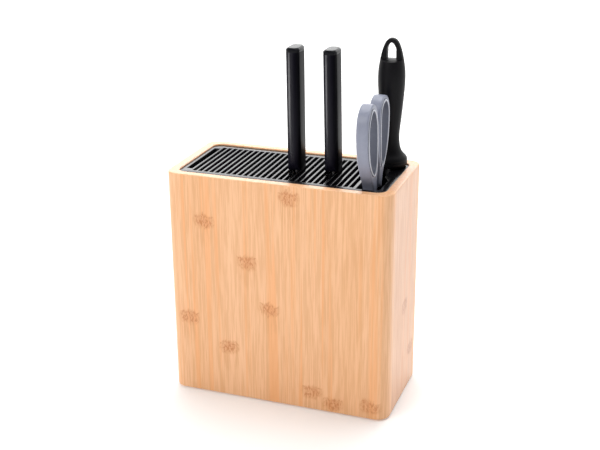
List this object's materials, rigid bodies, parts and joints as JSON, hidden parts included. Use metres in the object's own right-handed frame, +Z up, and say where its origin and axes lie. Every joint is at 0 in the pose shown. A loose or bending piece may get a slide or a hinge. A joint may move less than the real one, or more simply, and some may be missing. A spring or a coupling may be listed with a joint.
{
  "type": "knife block with knives",
  "caption": "Free-standing bamboo knife block with a black slotted insert that holds black-handled knives, grey kitchen scissors and a sharpening steel.",
  "frame": {"origin": "on the floor under the middle of the block, at the bottom of the feet", "axes": "+X right along the block's long side, +Y towards the back, +Z up"},
  "size_m": [0.22, 0.11, 0.3469],
  "materials": {
    "bamboo": "light natural bamboo with vertical grain, satin oil",
    "bamboo_base": "bamboo board",
    "bamboo_rail": "unfinished bamboo strip",
    "black_plastic": "moulded, semi-gloss",
    "rubber_foot": "soft rubber",
    "knife_steel": "fine brushed",
    "knife_handle": "smooth moulded, semi-gloss",
    "knife_cap": "smooth moulded, gloss",
    "shear_steel": "fine brushed",
    "shear_grip": "hard grey plastic, satin",
    "shear_ring": "soft light grey lining",
    "pivot_steel": "polished",
    "steel_grip": "satin moulded",
    "steel_guard": "satin moulded",
    "steel_rod": "ribbed along its length"
  },
  "bodies": {
    "block": {"front_panel": "bamboo", "back_panel": "bamboo", "left_panel": "bamboo", "right_panel": "bamboo", "base_panel": "bamboo_base", "front_left_foot": "rubber_foot", "front_right_foot": "rubber_foot", "back_left_foot": "rubber_foot", "back_right_foot": "rubber_foot", "front_support_rail": "bamboo_rail", "back_support_rail": "bamboo_rail"},
    "insert": {"slotted_insert": "black_plastic"},
    "chef_knife": {"chef_knife_blade": "knife_steel", "chef_knife_handle": "knife_handle", "chef_knife_end_cap": "knife_cap"},
    "utility_knife": {"utility_knife_blade": "knife_steel", "utility_knife_handle": "knife_handle", "utility_knife_end_cap": "knife_cap"},
    "scissors_rear_half": {"rear_shear_blade": "shear_steel", "rear_shear_grip": "shear_grip", "rear_shear_soft_ring": "shear_ring", "pivot_screw": "pivot_steel", "pivot_nut": "pivot_steel"},
    "scissors_front_half": {"front_shear_blade": "shear_steel", "front_shear_grip": "shear_grip", "front_shear_soft_ring": "shear_ring"},
    "sharpening_steel": {"steel_handle": "steel_grip", "steel_guard": "steel_guard", "steel_rod": "steel_rod"}
  },
  "joints": [
    {"name": "insert_lift", "type": "slide", "parent": "block", "child": "insert", "axis": [0, 0, 1], "range_m": [0, 0.15]},
    {"name": "chef_knife_draw", "type": "slide", "parent": "insert", "child": "chef_knife", "axis": [-0.0087, 0, 1], "range_m": [0, 0.2]},
    {"name": "utility_knife_draw", "type": "slide", "parent": "insert", "child": "utility_knife", "axis": [-0.0175, 0, 0.9998], "range_m": [0, 0.165]},
    {"name": "scissors_draw", "type": "slide", "parent": "insert", "child": "scissors_rear_half", "axis": [0, 0, 1], "range_m": [0, 0.14]},
    {"name": "scissors_pivot", "type": "hinge", "parent": "scissors_rear_half", "child": "scissors_front_half", "pos_m": [0.0815, -0.015, 0.205], "axis": [1, 0, 0], "range_deg": [0, 10]},
    {"name": "steel_draw", "type": "slide", "parent": "insert", "child": "sharpening_steel", "axis": [0, 0, 1], "range_m": [0, 0.21]}
  ]
}
